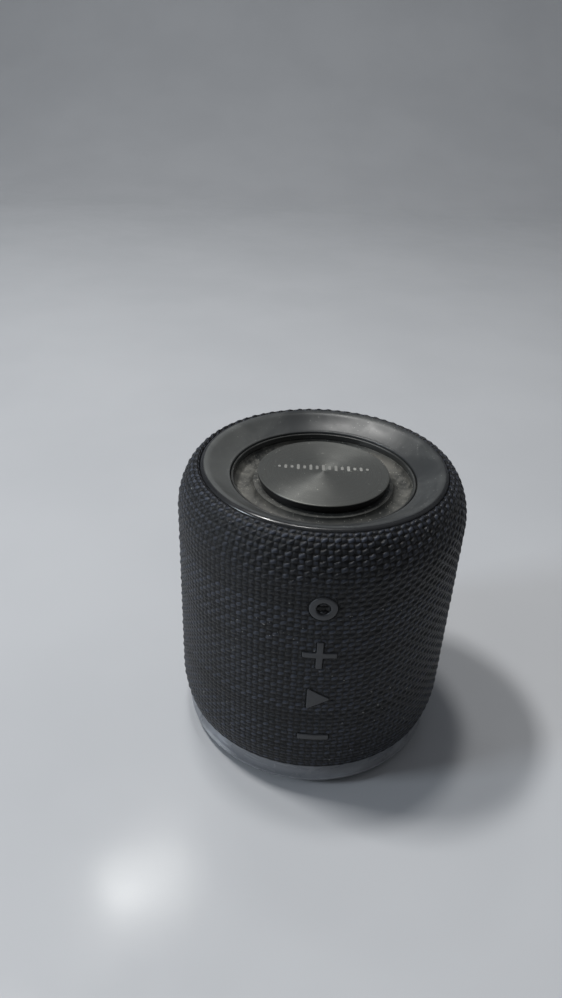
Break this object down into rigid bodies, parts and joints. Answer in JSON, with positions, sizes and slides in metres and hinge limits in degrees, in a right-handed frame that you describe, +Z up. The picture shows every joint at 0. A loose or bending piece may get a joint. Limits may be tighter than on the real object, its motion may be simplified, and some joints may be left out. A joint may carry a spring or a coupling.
{
  "type": "portable bluetooth speaker",
  "caption": "Small upright cylindrical speaker with a woven sleeve, a dished top with a passive radiator disc, symbol buttons down the front and a socket flap at the back.",
  "frame": {"origin": "centre of the foot ring's underside, on the surface the speaker stands on", "axes": "+Z up along the body's axis; -Y is the front, with the column of buttons; +X is to the right of someone facing the front"},
  "size_m": [0.085, 0.0856, 0.092],
  "materials": {
    "woven_sleeve": "coarse plain weave, matt, near-black charcoal",
    "shell_plastic": "moulded, matt black",
    "satin_plastic": "satin black with faint smudges",
    "base_plastic": "satin grey",
    "foot_rubber": "matt black rubber",
    "screw_steel": "dark zinc",
    "cabinet_plastic": "moulded, matt black",
    "frame_plastic": "moulded, matt black",
    "gasket_foam": "black foam",
    "surround_rubber": "matt rubber with pale dust",
    "mass_steel": "plain steel",
    "spun_metal": "dark anodised, spun grain",
    "basket_steel": "black painted pressed steel",
    "driver_rubber": "matt black rubber",
    "cone_paper": "black paper pulp",
    "dust_cap": "black film",
    "coil_copper": "copper wire",
    "spider_cloth": "resin-treated cloth",
    "pole_steel": "zinc-plated steel",
    "ferrite": "sintered ferrite",
    "button_rubber": "satin dark grey rubber",
    "switch_plastic": "black moulding",
    "solder_mask": "green circuit board",
    "lamp_lens": "white diffuser",
    "recess_plastic": "moulded, matt black",
    "flap_rubber": "matt black rubber",
    "socket_steel": "bright steel",
    "socket_plastic": "black moulding",
    "board_mask": "blue-green circuit board",
    "chip_epoxy": "black epoxy",
    "shield_can": "tinned steel can",
    "battery_wrap": "cell in a shrink wrap",
    "holder_plastic": "moulded, matt",
    "lead_sleeve": "red silicone sleeve",
    "cable_film": "polyimide film"
  },
  "bodies": {
    "housing": {"fabric_sleeve": "woven_sleeve", "grille_shell": "shell_plastic", "top_bezel": "satin_plastic", "base_ring": "base_plastic", "base_cover": "base_plastic", "foot_ring": "foot_rubber", "radiator_frame": "frame_plastic", "radiator_gasket": "gasket_foam", "radiator_clamp_ring": "frame_plastic", "radiator_surround": "surround_rubber", "speaker_cabinet": "cabinet_plastic", "power_switch": "switch_plastic", "volume_up_switch": "switch_plastic", "play_switch": "switch_plastic", "volume_down_switch": "switch_plastic", "button_board": "solder_mask", "status_light": "lamp_lens", "main_board": "board_mask", "amplifier_chip": "chip_epoxy", "bluetooth_module": "shield_can", "battery_cell": "battery_wrap", "battery_holder": "holder_plastic", "battery_lead": "lead_sleeve", "ribbon_cable": "cable_film", "port_recess": "recess_plastic", "usb_c_port": "socket_steel", "aux_jack": "socket_plastic", "card_slot": "socket_steel", "base_screw_1": "screw_steel", "base_screw_2": "screw_steel", "base_screw_3": "screw_steel", "frame_screw_1": "screw_steel", "frame_screw_2": "screw_steel", "frame_screw_3": "screw_steel", "frame_screw_4": "screw_steel", "left_basket": "basket_steel", "left_surround": "driver_rubber", "left_spider": "spider_cloth", "left_top_plate": "pole_steel", "left_magnet": "ferrite", "left_yoke": "pole_steel", "right_basket": "basket_steel", "right_surround": "driver_rubber", "right_spider": "spider_cloth", "right_top_plate": "pole_steel", "right_magnet": "ferrite", "right_yoke": "pole_steel"},
    "radiator": {"radiator_cap": "spun_metal", "radiator_plate": "mass_steel"},
    "left_diaphragm": {"left_cone": "cone_paper", "left_dust_cap": "dust_cap", "left_voice_coil": "coil_copper"},
    "right_diaphragm": {"right_cone": "cone_paper", "right_dust_cap": "dust_cap", "right_voice_coil": "coil_copper"},
    "power_key": {"power_button": "button_rubber"},
    "volume_up_key": {"volume_up_button": "button_rubber"},
    "play_key": {"play_button": "button_rubber"},
    "volume_down_key": {"volume_down_button": "button_rubber"},
    "flap": {"port_cover": "flap_rubber"}
  },
  "joints": [
    {"name": "power_press", "type": "slide", "parent": "housing", "child": "power_key", "axis": [0, 1, 0], "range_m": [0, 0.0006], "stiffness_N_per_m": 2500},
    {"name": "volume_up_press", "type": "slide", "parent": "housing", "child": "volume_up_key", "axis": [0, 1, 0], "range_m": [0, 0.0006], "stiffness_N_per_m": 2500},
    {"name": "play_press", "type": "slide", "parent": "housing", "child": "play_key", "axis": [0, 1, 0], "range_m": [0, 0.0006], "stiffness_N_per_m": 2500},
    {"name": "volume_down_press", "type": "slide", "parent": "housing", "child": "volume_down_key", "axis": [0, 1, 0], "range_m": [0, 0.0006], "stiffness_N_per_m": 2500},
    {"name": "radiator_travel", "type": "slide", "parent": "housing", "child": "radiator", "axis": [0, 0, 1], "range_m": [-0.002, 0.002], "stiffness_N_per_m": 2900, "deforming": ["radiator_surround"]},
    {"name": "left_cone_travel", "type": "slide", "parent": "housing", "child": "left_diaphragm", "axis": [-1, 0, 0], "range_m": [-0.0008, 0.0008], "stiffness_N_per_m": 1800, "deforming": ["left_surround", "left_spider"]},
    {"name": "right_cone_travel", "type": "slide", "parent": "housing", "child": "right_diaphragm", "axis": [1, 0, 0], "range_m": [-0.0008, 0.0008], "stiffness_N_per_m": 1800, "deforming": ["right_surround", "right_spider"]},
    {"name": "flap_hinge", "type": "hinge", "parent": "housing", "child": "flap", "pos_m": [0, 0.04245, 0.018], "axis": [-1, 0, 0], "range_deg": [0, 110]}
  ]
}
